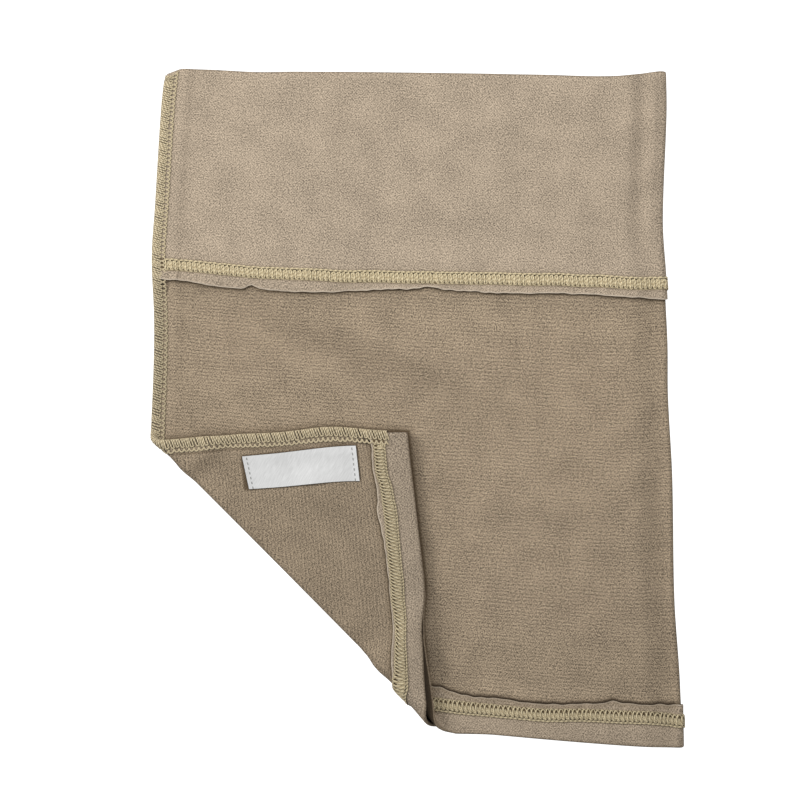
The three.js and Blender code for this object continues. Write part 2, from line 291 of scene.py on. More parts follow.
def body_relief(x, v):
    """Height added to the raised front wall: slack swells, puckers at the stitch lines, and a
    groove beside the folded side of the wide hem."""
    swell = 0.45 * soft_waves(x, 11, 75, v) + 0.16 * soft_waves(x, 12, 26, v)
    near_stitches = bells(v, (1, wide_stitch_line, pucker_width), (1, narrow_stitch_line, pucker_width))
    pucker = 0.2 * near_stitches * soft_waves(x, 13, 9, 0.35 * v)
    groove = smooth(v, wide_raw_edge + 12, wide_raw_edge + 40) * bells(fold_side(v) - x, *side_grooves)
    return swell + pucker + groove


def gap_between_walls(x, v):
    """The gap between the walls: closed at the seam and round the corner, raised between."""
    from_seam = x - seam_side(v)
    closed = mix(seam_gap, wall_gap, smooth(from_seam, seam_flat_width, 2 * seam_flat_width))
    corner_end = seam_side(0) + fold_along_hem + flap_clear
    above_corner = smooth(v, fold_up_seam + flap_clear, fold_up_seam + loft_turn_length)
    start = mix(corner_end, seam_side(v) + seam_flat_width, above_corner)
    opened = smooth(x, start, start + loft_slope_length)
    raised = mix(closed, loft_height, opened)
    dip = smooth(fold_centre(v) - x, side_dip_start, side_dip_end)
    ridge = above_corner * bells(from_seam, seam_ridge)
    relief = opened * smooth(fold_centre(v) - x, 0, side_dip_start) * body_relief(x, v)
    return mix(side_fold_gap, raised, dip) + ridge + relief


def back_inner(x, v):
    return jersey_thickness + layer_pitch * hem_cover(v) + thread_pitch * thread_cover(x, v)


def front_inner(x, v):
    return back_inner(x, v) + gap_between_walls(x, v)


def stack_top(x, v):
    return front_inner(x, v) + back_inner(x, v)


# The line that the corner is folded about, and where the stack is measured beside it
fold_probes = (2, -3, -8, -13)
fold_corner = np.array([seam_side(0), line_y(seam_side(0), 0)])
fold_start = fold_corner + (0, fold_up_seam)
fold_end = fold_corner + (fold_along_hem, 0)
fold_length = np.linalg.norm(fold_end - fold_start)
fold_along = (fold_end - fold_start) / fold_length
fold_inward = np.array([-fold_along[1], fold_along[0]])


def fold_place(x, y):
    """The place of (x, y) along the fold line and inward of it."""
    x, y = x - fold_start[0], y - fold_start[1]
    return x * fold_along[0] + y * fold_along[1], x * fold_inward[0] + y * fold_inward[1]


def out_of_fold(along, inward):
    """The x and y of a place along the fold line and inward of it."""
    return (fold_start[i] + fold_along[i] * along + fold_inward[i] * inward for i in (0, 1))


def top_beside(along, inward):
    """The top of the stack of layers at one place by the fold, along it and inward of it."""
    x, y = out_of_fold(along, inward)
    v = line_through(x, y)
    return stack_top(np.maximum(x, seam_side(v)), v)


def roll_at(along):
    """The height of the roll's centre, its middle layer's radius, and the stack where it ends."""
    top = np.max([top_beside(along, inward) for inward in fold_probes], axis=0)
    centre = top + fold_roll_gap
    middle = centre - top / 2
    return centre, middle, top_beside(along, -np.pi * middle)


# The roll lies tucked in where the hem and the threads thicken it, so that its outside is straight
roll_tuck = 0.9
thin_roll_place = 80.0
thin_roll = float(roll_at(np.array(thin_roll_place))[1])


def flap_relief(along, beyond):
    """Height added to the folded corner, never below 0: slack swells, and pleats that fan out
    from the fold's upper end."""
    swell = 0.5 + 0.5 * soft_waves(along, 21, 38, beyond)
    fan = np.arctan2(beyond, np.maximum(along, 1))
    pleats = np.sin(fan * 15 + 1) * bells(np.hypot(beyond, along), (1, 34, 20))
    return np.maximum(0.6 * swell + 0.4 + 0.4 * pleats, 0) * smooth(beyond, 3, 16)


def fold_corner_up(x, y, z):
    """Beyond the fold line the cloth goes round the roll, and past half a turn it lies back over
    the front wall, upside down: it leaves the roll level and settles on what lies under it."""
    along, inward = fold_place(x, y)
    bow = fold_bow * np.sin(np.pi * np.clip(along / fold_length, 0, 1))
    centre, middle, leaving_top = roll_at(along)
    outside = inward < 0
    angle = np.where(outside, np.minimum(-inward / middle, np.pi), 0)
    beyond = np.where(outside, np.maximum(-inward - np.pi * middle, 0), 0)
    reach = np.where(outside, beyond - (centre - z) * np.sin(angle), inward)
    rolled = np.where(outside, centre - (centre - z) * np.cos(angle), z)
    own_top = top_beside(along, inward)
    lifted = rolled + own_top - leaving_top
    settled = top_beside(along, beyond) + flap_rest_gap + own_top - z
    height = np.where(beyond > 0, mix(lifted, settled, smooth(beyond, 0, flap_settle_length)), rolled)
    height = height + np.where(beyond > 0, flap_relief(along, beyond), 0)
    tuck = roll_tuck * smooth(along, 5, 30) * (1 - 0.55 * smooth(along, fold_length - 30, fold_length - 5))
    tucked = bow + tuck * (middle - thin_roll)
    bowed = reach + tucked * bells(np.maximum(reach, 0), (1, 0, flap_settle_length))
    x, y = out_of_fold(along, bowed)
    return np.stack([x + origin_shift[0], y + origin_shift[1], height], -1)


bisections = 26


def crossing(v, inward):
    """x where the line at v is at a distance inward of the fold line, by bisection."""
    low, high = seam_side(v) + 0 * inward, fold_centre(v)
    for _ in range(bisections):
        x = (low + high) / 2
        place = fold_place(x, line_y(x, v))[1]
        low, high = np.where(place < inward, x, low), np.where(place < inward, high, x)
    return low


# The label's own place, sewn to the back wall near the seam's narrow end
label_length = 60
label_width = 16.4
label_from_hem = 28.2
label_from_seam = 7.5
label_slant = 2.8

# How many columns of the mesh each stretch of the walls has
seam_columns = 3
front_flap_columns = 14
back_flap_columns = 62
roll_columns = 9
front_columns = 138
back_columns = 36
side_fold_columns = 8


def wall_columns(v, flap_columns, body_columns):
    """x of each column of one wall, from the seam edge over the flap, the roll and the body to the
    folded side. Those of the flap and the roll close up on the seam where v doesn't reach them."""
    start = seam_side(v)
    meeting = crossing(v, 0)
    roll_width = np.pi * roll_at(fold_place(meeting, line_y(meeting, v))[0])[1]
    flap_end = np.maximum(crossing(v, -roll_width), start)
    flap_start = np.clip(start + seam_flat_width, start, flap_end)
    columns = [mix(start, flap_start, i / seam_columns) for i in range(seam_columns)]
    columns += [mix(flap_start, flap_end, i / flap_columns) for i in range(flap_columns)]
    columns += [np.maximum(crossing(v, -roll_width * (1 - i / roll_columns)), start)
                for i in range(roll_columns)]
    columns.append(np.maximum(meeting, start))
    body_start = np.maximum(meeting, start + seam_flat_width)
    columns += [mix(body_start, fold_centre(v), i / body_columns) for i in range(body_columns + 1)]
    return np.stack(columns, -1)


def tube_columns(v):
    """The columns of the lines at v round the tube: x, turn (0 front, pi back) and the distance
    round from the front wall's seam edge."""
    front = wall_columns(v, front_flap_columns, front_columns)
    back = wall_columns(v, back_flap_columns, back_columns)[:, ::-1]
    side = np.repeat(fold_centre(v)[:, None], side_fold_columns - 1, 1)
    turn = np.pi * np.arange(1, side_fold_columns) / side_fold_columns
    x = np.concatenate([front, side, back], 1)
    turns = np.concatenate([np.zeros(front.shape[1]), turn, np.full(back.shape[1], np.pi)])
    return x, np.broadcast_to(turns, x.shape), way_round(x, turns, v[:, None])


def way_round(x, turn, v):
    """The distance round the tube from the front wall's seam edge."""
    half = fold_centre(v) - seam_side(v)
    return np.where(turn < np.pi / 2, x - seam_side(v), 2 * half + seam_side(v) - x) + side_radius * turn


def round_to_column(u, v):
    """x and turn of the place at a distance u round the tube from the front wall's seam edge."""
    half = fold_centre(v) - seam_side(v)
    turn = np.clip((u - half) / side_radius, 0, np.pi)
    from_side = np.where(turn < np.pi / 2, half - u, u - half - np.pi * side_radius)
    return fold_centre(v) - np.maximum(from_side, 0), turn


def peek(x, v):
    """How far the front wall's hem comes out past the back wall's, at the low end of the fold."""
    from_seam = x - seam_side(v)
    beside_fold = 0.3 * smooth(from_seam, 60, 95) + 0.7 * smooth(from_seam, 95, 128)
    beside_fold = beside_fold * (1 - smooth(from_seam, fold_along_hem + 12, fold_along_hem + 40))
    return peek_depth * beside_fold * bells(v, (1, 0, 30))


def seam_spring(x, v):
    """How far the seam springs out of its straight lie where the corner is folded up, and how far
    its threads draw in the corner at the wide end: both fade out beside the seam."""
    from_seam = x - seam_side(v)
    out = bells(v, *seam_springs)
    drawn = corner_draw * smooth(v, tube_length - 9, tube_length) * (1 - smooth(from_seam, -1, 8))
    return out * (1 - smooth(from_seam, 4, 8)), drawn


def place_on_tube(x, turn, v, out):
    """The lying place of a point: on one column, at v, and out from the wall's inner face."""
    low = back_inner(x, v)
    half = (front_inner(x, v) - low) / 2
    spring, drawn = seam_spring(x, v)
    y = line_y(x, v) - peek(x, v) * (np.cos(turn) / 2 - 0.1) - drawn
    x = x - spring + (half + out) * np.sin(turn)
    return fold_corner_up(x, y, low + half + (half + out) * np.cos(turn))


# How far the sewn lines stray from straight, towards the wide end, at shares of the way across from
# the seam: on the wide hem, on the narrow hem's front, and on its back, which is folded up
wide_across = [0, 0.06, 0.12, 0.2, 0.27, 0.36, 0.48, 0.69, 0.84, 0.96]
wide_stitch_stray = [-1.4, -1.7, -1.8, -2.6, -2.6, -2.4, -1.5, -0.2, 0.2, -2.3]
wide_edge_stray = [-1.6, -2.1, -3.8, -3.9, -4.1, -2.6, 0, 0.3, 1.2, -2.6]
narrow_across = [0.45, 0.55, 0.6, 0.66, 0.74, 0.82, 0.88, 0.95, 1]
narrow_stitch_stray = [0.9, 0.7, 0.1, -0.3, -0.5, 0.8, 1.6, 1.5, 0.7]
narrow_edge_stray = [4.8, 3.9, 0.6, 0.5, -0.8, 1.2, 2.7, 2.5, 2.6]
flap_across = [0, 0.05, 0.075, 0.1, 0.12, 0.17, 0.23, 0.3, 0.38, 0.43, 0.48, 0.6, 1]
flap_stitch_stray = [2.9, 3.3, 1.7, 1.2, 0.9, 1.2, 1.4, 1.8, -0.3, -0.6, 0.3, 0, 0.1]
flap_edge_stray = [1.7, 2.2, 1.1, 1.5, 2.3, 0.6, 0.1, 0.3, -0.6, -2.3, -1, 0, 2.6]


# Where the front wall's lines pass into the back wall's, round the folded side
round_side = (tube_width - 5, tube_width + 5)


def stray(keys, values, u):
    """The stray of a sewn line at a distance u round the tube."""
    return curve_through(keys, values, 1 - abs(1 - u / tube_width))


def stitch_line(u, wide):
    """v of the middle of a hem's coverstitching."""
    waver = 0.15 * soft_waves(u, 31 if wide else 32, 30)
    if wide:
        return wide_stitch_line + stray(wide_across, wide_stitch_stray, u) + waver
    front = stray(narrow_across, narrow_stitch_stray, u)
    back = stray(flap_across, flap_stitch_stray, u)
    return narrow_stitch_line + mix(front, back, smooth(u, *round_side)) + waver


def raw_edge(u, wide):
    """v of a hem's raw edge: a wavering scissor cut with a few short waves where it curls."""
    ripple = 0.18 * soft_waves(u, 33, 12) + 0.16 * soft_waves(u, 34, 4.5)
    if wide:
        return wide_raw_edge + stray(wide_across, wide_edge_stray, u) + bells(u, *wide_edge_curls) + ripple
    front = stray(narrow_across, narrow_edge_stray, u) + bells(u, narrow_edge_curl)
    back = stray(flap_across, flap_edge_stray, u)
    return narrow_hem_depth + mix(front, back, smooth(u, *round_side)) + ripple


def hem_places(u, v, wide):
    """Moves v on a hem's layer so that its raw edge and its stitching lie on their own lines, which
    fades out inside the hem, and lifts the raw edge where the cut jersey curls and pleats."""
    line = wide_stitch_line if wide else narrow_stitch_line
    edge = wide_raw_edge if wide else narrow_hem_depth
    to_line = smooth((v - edge) / (line - edge), 0, 1)
    fade = 1 - smooth(abs(v - line), 0, 45 if wide else 12) * (abs(v - edge) > abs(line - edge))
    moved = v + mix(raw_edge(u, wide) - edge, (stitch_line(u, wide) - line) * fade, to_line)
    from_edge = abs(v - edge)
    curl = (0.3 + 0.3 * soft_waves(u, 35, 11)) * bells(from_edge, (1, 0, 1.4))
    pleat = 0.35 * soft_waves(u, 36, 6.5) + 0.5 * np.sin(u * 1.3) * (1 - smooth(u, 18, 26))
    pleat = pleat * bells(from_edge, (1, 2, 2.5))
    free = 1 - smooth(u, tube_width - 4, tube_width + 4) * wide
    return moved, np.maximum(curl + pleat, 0) * free


def smooth_object(name, points, faces, attributes):
    """A smooth-shaded object from points in millimetres, with its attributes on the points."""
    mesh = bpy.data.meshes.new(name)
    mesh.from_pydata(points / 1000, [], faces)
    for label, values in attributes.items():
        layer = mesh.attributes.new(label, "FLOAT_VECTOR", "POINT")
        layer.data.foreach_set("vector", values.astype(np.float32).ravel())
    mesh.polygons.foreach_set("use_smooth", np.ones(len(mesh.polygons), bool))
    mesh.update()
    made = bpy.data.objects.new(name, mesh)
    scene.collection.objects.link(made)
    return made


def closed_solid(name, face, back, attributes):
    """A closed mesh between two grids of points: quads over both grids and round their rims, with
    the corners that coincide merged and the quads that closed up left out or made triangles.
    Returns the object and the side of each polygon: 0 the face, 1 the back, 2 the rim."""
    rows, columns = face.shape[:2]
    points = np.concatenate([face.reshape(-1, 3), back.reshape(-1, 3)])
    number = np.arange(2 * rows * columns).reshape(2, rows, columns)
    top, low = number
    quads = [np.stack(corners, -1).reshape(-1, 4) for corners in (
        (top[:-1, :-1], top[:-1, 1:], top[1:, 1:], top[1:, :-1]),
        (low[:-1, :-1], low[1:, :-1], low[1:, 1:], low[:-1, 1:]),
        (top[:-1, 0], top[1:, 0], low[1:, 0], low[:-1, 0]),
        (top[1:, -1], top[:-1, -1], low[:-1, -1], low[1:, -1]),
        (top[0, 1:], top[0, :-1], low[0, :-1], low[0, 1:]),
        (top[-1, :-1], top[-1, 1:], low[-1, 1:], low[-1, :-1]))]
    sides = np.repeat([0, 1, 2, 2, 2, 2], [len(q) for q in quads])
    _, first, merged = np.unique(np.round(points, 3), axis=0, return_index=True, return_inverse=True)
    quads = merged.reshape(-1)[np.concatenate(quads)]
    same = quads == np.roll(quads, -1, 1)
    crossed = (quads[:, 0] == quads[:, 2]) | (quads[:, 1] == quads[:, 3])
    whole = ~same.any(1) & ~crossed
    closed = (same.sum(1) == 1) & ~crossed
    triangles = quads[closed][~same[closed]].reshape(-1, 3)
    both = {label: np.concatenate([values.reshape(-1, 3)] * 2)[first]
            for label, values in attributes.items()}
    made = smooth_object(name, points[first], quads[whole].tolist() + triangles.tolist(), both)
    return made, np.concatenate([sides[whole], sides[closed]])


def steps(*stops):
    """Lengths from the first stop to the last. Between two stops stands their greatest distance
    apart on that stretch."""
    return np.concatenate([
        np.linspace(start, end, max(int(np.ceil(abs(end - start) / size)), 1), endpoint=False)
        for start, size, end in zip(stops[::2], stops[1::2], stops[2::2])] + [stops[-1:]])


def panel_section():
    """The panel's line of section along the tube, row by row: v, the distance out from the wall's
    inner face, the layer's normal and its kind (0 wall, 1 wide hem, 2 narrow hem). It runs from the
    wide raw edge up outside the wall, turns in, runs down as the wall, turns out and ends at the
    narrow raw edge."""
    hem_out = layer_pitch + jersey_thickness / 2
    wall_out = jersey_thickness / 2
    top = tube_length - turn_depth
    arc = np.pi * np.arange(1, 4) / 4
    sine, cosine = np.sin(arc), np.cos(arc)
    hem_up = steps(wide_raw_edge, 0.7, wide_raw_edge + 5, 1.2, wide_raw_edge + 16, 2.9, top)
    wall_down = steps(
        top, 10, wide_raw_edge + 4, 1, wide_raw_edge - 8, 2.1, fold_up_seam + 2, 1.25,
        fold_up_seam - 24, 2.1, narrow_hem_depth + 8, 1, narrow_hem_depth - 2, 5, turn_depth)
    hem_out_again = steps(turn_depth, 1.4, narrow_hem_depth - 4, 0.8, narrow_hem_depth)
    middle = (hem_out + wall_out) / 2
    parts = [
        (hem_up, hem_out, 0, -1),
        (top + turn_radius * sine, middle + turn_radius * cosine, -sine, -cosine),
        (wall_down, wall_out, 0, 1),
        (turn_depth - turn_radius * sine, middle - turn_radius * cosine, sine, cosine),
        (hem_out_again, hem_out, 0, -1)]
    whole = [np.concatenate([np.broadcast_to(part[i], part[0].shape) for part in parts]) for i in range(4)]
    kind = np.repeat([1, 1, 0, 2, 2], [len(part[0]) for part in parts])
    return *whole, kind


def flap_distance(x, v):
    """How far a place on the body lies outside the edge of the folded corner that lies on it. The
    corner's cloth over a place at d inward of the fold comes from pi * radius + d beyond it."""
    along, inward = fold_place(x, line_y(x, v))
    over_x, over_y = out_of_fold(along, -inward - np.pi * roll_at(along)[1])
    over_v = line_through(over_x, over_y)
    past_seam = seam_side(over_v) - seam_spring(seam_side(over_v), over_v)[0] - over_x
    past_hem = line_y(over_x, 0) - over_y
    return np.where(inward > 0, np.maximum(np.maximum(past_seam, past_hem), 0), 99)


def label_distance(x, turn, v):
    """How far a place lies outside the outline of the label on the back wall."""
    along = v - label_from_hem
    across = x - seam_side(v) - label_from_seam - label_slant * along / label_length
    beside = np.maximum(abs(across - label_width / 2) - label_width / 2, 0)
    before = np.maximum(abs(along - label_length / 2) - label_length / 2, 0)
    return np.where(turn > np.pi / 2, np.hypot(beside, before), 99)


def jersey_panel():
    """Both faces of the panel are the map of its section, half a thickness to each side."""
    v, out, tilt_v, tilt_out, kind = panel_section()
    x, turn, u = tube_columns(v)
    path = np.concatenate([[0], np.cumsum(np.hypot(np.diff(v), np.diff(out)))])
    v_moved, lift = np.repeat(v[:, None], x.shape[1], 1), np.zeros_like(x)
    for hem, wide in ((1, True), (2, False)):
        rows = kind == hem
        v_moved[rows], lift[rows] = hem_places(u[rows], v_moved[rows], wide)
    x = np.where((kind > 0)[:, None], round_to_column(u, v_moved)[0], x)
    half = jersey_thickness / 2
    faces = [place_on_tube(x, turn, v_moved + side * half * tilt_v[:, None],
                           out[:, None] + lift + side * half * tilt_out[:, None]) for side in (-1, 1)]
    wide = v_moved > tube_length / 2
    inward = 2 * wide - 1
    from_edge, from_stitches = (inward * (v_moved - np.where(wide, line(u, True), line(u, False)))
                                for line in (raw_edge, stitch_line))
    cloth = np.stack([u, np.broadcast_to(path[:, None], u.shape), v_moved], -1)
    # For painted shade: the walls' rows are marked -1 for the tube's inside, the hems' count from their
    # fold
    from_fold = np.where((kind == 0)[:, None], -1, np.where(wide, tube_length - v_moved, v_moved))
    lines = np.stack([from_edge, from_stitches, from_fold], -1)
    front_narrow = ~wide & (u < tube_width)
    # Distances for painted shade: round the label, along a line beside the seam's threads, and outside the
    # folded corner's edge
    seam_shade_distance = abs(x - seam_side(v_moved) - overlock_width - 1.3) + 0.5
    pressed = np.minimum(label_distance(x, turn, v_moved), seam_shade_distance)
    beside = np.stack([pressed, front_narrow, flap_distance(x, v_moved)], -1)
    return faces[0], faces[1], {"cloth": cloth, "lines": lines, "beside": beside}


sharp_angle = np.radians(50)
jersey, jersey_sides = closed_solid("jersey", *jersey_panel())
jersey.data.set_sharp_from_angle(angle=sharp_angle)


def read_axes(tree, attribute):
    """The three numbers of one attribute of the mesh, as sockets X, Y and Z."""
    read = add_node(tree, "ShaderNodeAttribute", attribute_name=attribute)
    return add_node(tree, "ShaderNodeSeparateXYZ", {0: read.outputs["Vector"]}).outputs


def between(tree, value, start, end, low=0.0, high=1.0):
    """Goes from low where the value is at start to high where it is at end, level beyond them."""
    return add_node(tree, "ShaderNodeMapRange", {
        "Value": value, "From Min": start, "From Max": end, "To Min": low, "To Max": high}).outputs[0]


def noise(tree, place, scale, detail, roughness=0.5):
    """Soft noise from 0 to 1."""
    return add_node(tree, "ShaderNodeTexNoise", {
        "Vector": place, "Scale": scale, "Detail": detail, "Roughness": roughness}).outputs["Fac"]


def two_tones(tree, share, dark, light):
    """A colour between two, by a share."""
    ramp = add_node(tree, "ShaderNodeValToRGB", {"Fac": share})
    ramp.color_ramp.elements[0].color = dark
    ramp.color_ramp.elements[1].color = light
    return ramp.outputs["Color"]


def mix_colours(tree, share, first, second, blend="MIX"):
    """One colour laid over another by a share."""
    return add_node(tree, "ShaderNodeMix", {0: share, 6: first, 7: second},
                    data_type="RGBA", blend_type=blend).outputs[2]


def colour_now(tree):
    """The socket that feeds the shader's colour."""
    return tree.nodes["Principled BSDF"].inputs["Base Color"].links[0].from_socket


def feed_colour(tree, colour):
    """Feeds a socket to the shader's colour."""
    tree.links.new(colour, tree.nodes["Principled BSDF"].inputs["Base Color"])


def jersey_finish(name, colour, contrast, course, wale, streak, ridge, back_painted_shade, end_painted_shade):
    """Fine viscose jersey. Its loops are too small for the picture, so they are drawn as coarser
    specks, short streaks along the yarn and faint broken courses, which give a dry matt cloth."""
    yarn_strength, speck_strength, patch_strength = 1.3, 2.4, 0.4
    material, tree = new_material(name, {"Roughness": 0.92, "Specular IOR Level": 0.25})
    cloth = add_node(tree, "ShaderNodeAttribute", attribute_name="cloth").outputs["Vector"]
    flat = add_node(tree, "ShaderNodeMapping", {"Vector": cloth, "Scale": (1, 1, 0)}).outputs[0]
    place = add_node(tree, "ShaderNodeSeparateXYZ", {0: flat}).outputs
    drift = noise(tree, flat, 1 / 9, 2.0)
    shifted = calculate(tree, "MULTIPLY_ADD", drift, 2.2, place["Y"])
    courses = calculate(tree, "SINE", calculate(tree, "MULTIPLY", shifted, 2 * np.pi / course))
    wale_place = calculate(tree, "MULTIPLY", place["X"], 2 * np.pi / wale)
    wales = calculate(tree, "SINE", calculate(tree, "MULTIPLY_ADD", drift, 9.0, wale_place))
    along = add_node(tree, "ShaderNodeMapping", {
        "Vector": flat, "Scale": (1 / streak[0], 1 / streak[1], 1)}).outputs[0]
    yarn = noise(tree, along, 1.0, 2.0, 0.6)
    share = 0.5 - 0.5 * (yarn_strength + speck_strength + patch_strength)
    for part, strength in (
            (calculate(tree, "MULTIPLY", yarn, courses), 2 * ridge),
            (calculate(tree, "MULTIPLY", wales, courses), 0.14),
            (yarn, yarn_strength),
            (noise(tree, flat, 1.8, 1.0, 0.7), speck_strength),
            (noise(tree, flat, 1 / 14, 4.0), patch_strength)):
        share = calculate(tree, "MULTIPLY_ADD", part, strength, share)
    light = np.array(linear(colour))[:3]
    colours = two_tones(tree, share, *((*(light * (1 + sign * contrast)), 1) for sign in (-1, 1)))
    # Painted shade: the back wall is folded up, where its courses run with the light and look darker
    turned = between(tree, place["X"], tube_width - 4.0, tube_width + 4.0, 1.0, back_painted_shade)
    # Painted shade: the cloth is a little darker towards its narrow end, away from the light
    narrow_end_shade = between(tree, read_axes(tree, "cloth")["Z"], 30.0, 200.0, end_painted_shade, 1.0)
    tone = calculate(tree, "MULTIPLY", turned, narrow_end_shade)
    feed_colour(tree, mix_colours(tree, 1.0, colours, tone, "MULTIPLY"))
    bump = add_node(tree, "ShaderNodeBump", {"Height": share, "Strength": 0.5, "Distance": 0.0002})
    tree.links.new(bump.outputs["Normal"], tree.nodes["Principled BSDF"].inputs["Normal"])
    return material


def creases(material, reach, depth):
    """Darkens what lies in a narrow crease, beside an edge or under a thread, where shade gathers.
    The photograph is sharpened, and shows a thin dark line in each."""
    tree = material.node_tree
    shade = add_node(tree, "ShaderNodeAmbientOcclusion", {"Distance": reach / 1000}, samples=6)
    open_share = between(tree, shade.outputs["AO"], 0.15, 0.85, 1 - depth)
    feed_colour(tree, mix_colours(tree, 1.0, colour_now(tree), open_share, "MULTIPLY"))


def shade_near(material, attribute, axis, dark, near, far, front_narrow=False):
    """Lays a dark tone over the cloth where an edge that lies on it keeps the light out, by the
    distance in one attribute: from near, a distance and its strength, to nothing at far."""
    tree = material.node_tree
    share = between(tree, read_axes(tree, attribute)[axis], near[0], far, near[1], 0.0)
    if front_narrow:
        share = calculate(tree, "MULTIPLY", share, read_axes(tree, "beside")["Y"])
    feed_colour(tree, mix_colours(tree, share, colour_now(tree), linear(dark)))


def frayed_rim_and_sewn_shade(material, rim, under):
    """Marks along a hem's own lines: a pale frayed rim at the raw edge, painted shade under the stitches
    and where they draw the cloth in, and painted shade on the narrow hem's strip beside its raw edge."""
    tree = material.node_tree
    lines = read_axes(tree, "lines")
    frayed = between(tree, lines["X"], 0.2, 0.9, 0.8, 0.0)
    colour = mix_colours(tree, frayed, colour_now(tree), linear(rim))
    # Painted shade under the stitches, easing out beside them: the ramp spans 5 mm to each
    # side of the stitches' middle
    apart = calculate(tree, "MULTIPLY", calculate(tree, "ABSOLUTE", lines["Y"]), 1 / 5)
    drawn = add_node(tree, "ShaderNodeValToRGB", {"Fac": apart})
    ramp = drawn.color_ramp
    ramp.elements[0].color = (1, 1, 1, 1)
    ramp.elements[1].position = 0.82
    ramp.elements[1].color = (0, 0, 0, 1)
    ramp.elements.new(0.58).color = (1, 1, 1, 1)
    ramp.elements.new(0.63).color = (0.3, 0.3, 0.3, 1)
    colour = mix_colours(tree, drawn.outputs["Color"], colour, linear(under))
    # Painted shade on the front of the narrow hem, on the strip beside its raw edge
    strip = between(tree, lines["X"], 0.6, 3.5, 0.45, 0.12)
    shaded = calculate(tree, "MULTIPLY", strip, read_axes(tree, "beside")["Y"])
    feed_colour(tree, mix_colours(tree, shaded, colour, linear(under)))


purl_jersey = jersey_finish(
    "viscose_jersey_purl_side", "#9e8d77", contrast=0.72, course=1.85, wale=1.3, streak=(1.4, 0.7),
    ridge=0.1, back_painted_shade=0.93, end_painted_shade=0.86)
plain_jersey = jersey_finish(
    "viscose_jersey_smooth_side", "#ac9c88", contrast=0.64, course=1.6, wale=1.4, streak=(1.0, 0.8),
    ridge=0.02, back_painted_shade=0.87, end_painted_shade=0.94)
# Painted shade: dark lines beside the raw edges, and then beside the label, the seam and the
# folded corner
shade_near(purl_jersey, "lines", "X", "#5f4e39", (-0.2, 0.65), -1.1)
shade_near(purl_jersey, "lines", "X", "#5f4e39", (-0.2, 0.3), -3.6)
shade_near(purl_jersey, "lines", "X", "#2e2115", (-0.2, 0.85), -1.9, front_narrow=True)
for cloth_side in (purl_jersey, plain_jersey):
    shade_near(cloth_side, "beside", "X", "#4d3d2a", (0.1, 0.8), 1.3)
    shade_near(cloth_side, "beside", "Z", "#4d3d2a", (0.5, 0.85), 1.9)
    shade_near(cloth_side, "beside", "Z", "#5f4e39", (0.5, 0.4), 4.5)
# Painted shade on the rounded folds of the hems, which turn away from the light
shade_near(plain_jersey, "lines", "Z", "#5f4e39", (0.2, 0.6), 1.2)
# Painted shade inside the tube, where no light gets in; it is seen only where the hems of the
# folded corner come apart
shade_near(plain_jersey, "lines", "Z", "#20160c", (-0.8, 0.9), -0.1)
frayed_rim_and_sewn_shade(plain_jersey, "#cabca9", "#6b5a42")
creases(purl_jersey, reach=2.5, depth=0.65)
creases(plain_jersey, reach=2.5, depth=0.6)
jersey.data.materials.append(plain_jersey)
jersey.data.materials.append(purl_jersey)
jersey.data.polygons.foreach_set("material_index", (jersey_sides > 0).astype(np.int32))
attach(jersey, "root")
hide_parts("jersey_tube")


# The coverstitching of the two hems
# A four-thread band of soft polyester on each hem, right round the tube: the looper thread swings
# from one needle line to the other, and the needle threads show as a row of small loops.
steps_a_stitch = 14
looper_reach = coverstitch_width / 2 - 0.35
looper_half_height = 0.27
flap_spread = 0.16
# Where the narrow hem's stitches begin and cease to spread on the folded corner, round the tube
spread_start = (395, 415)
spread_end = (495, 515)


def thread_tube(path, half_width, half_height, sides=6):
    """A closed tube along each path of the array (threads, steps, 3), in the seam's own space: round
    the tube, across the band and out. Its section is an ellipse, flat to the cloth, and the last
    ring at each end is drawn together. Returns the rings (threads, steps, sides, 3)."""
    way = np.gradient(path, axis=-2)
    way /= np.linalg.norm(way, axis=-1, keepdims=True)
    beside = np.stack([-way[..., 1], way[..., 0], 0 * way[..., 0]], -1)
    beside /= np.maximum(np.linalg.norm(beside, axis=-1, keepdims=True), 1e-6)
    over = np.cross(way, beside)
    angle = 2 * np.pi * np.arange(sides) / sides
    ring = (half_width[..., None, None] * beside[..., None, :] * np.cos(angle)[:, None]
            + half_height[..., None, None] * over[..., None, :] * np.sin(angle)[:, None])
    ring[:, [0, -1]] *= 0.02
    return path[..., None, :] + ring


def thread_piece(name, rings, tone):
    """The mesh of the rings, each thread one closed tube with its tone as an attribute."""
    threads, count, sides = rings.shape[:3]
    number = np.arange(threads * count * sides).reshape(threads, count, sides)
    turned = np.roll(number, -1, 2)
    quads = np.stack([number[:, :-1], turned[:, :-1], turned[:, 1:], number[:, 1:]], -1).reshape(-1, 4)
    caps = np.concatenate([number[:, 0, ::-1], number[:, -1]])
    around, along = np.meshgrid(np.arange(sides) / sides, np.arange(count) * 1.0)
    turns = np.broadcast_to(np.stack([around, along, 0 * along + tone], -1), rings.shape)
    return smooth_object(name, rings.reshape(-1, 3), quads.tolist() + caps.tolist(), {"thread": turns})


def swing(turns, sharpness):
    """A swing between -1 and 1, once for each whole turn, that dwells at both ends."""
    return np.tanh(-sharpness * np.cos(2 * np.pi * turns)) / np.tanh(sharpness)


def places_at_pitch(first, last, pitches, change_at):
    """The number of stitches from first to last, where the pitch goes smoothly from one value to the
    other, and the function from stitches to the place."""
    fine = np.linspace(first, last, 4000)
    pitch = mix(*pitches, smooth(fine, change_at - 15, change_at + 15))
    counted = np.concatenate([[0], np.cumsum(np.diff(fine) / pitch[1:])])
    stitches = int(counted[-1])
    return stitches, lambda turns: np.interp(turns * counted[-1] / stitches, counted, fine)


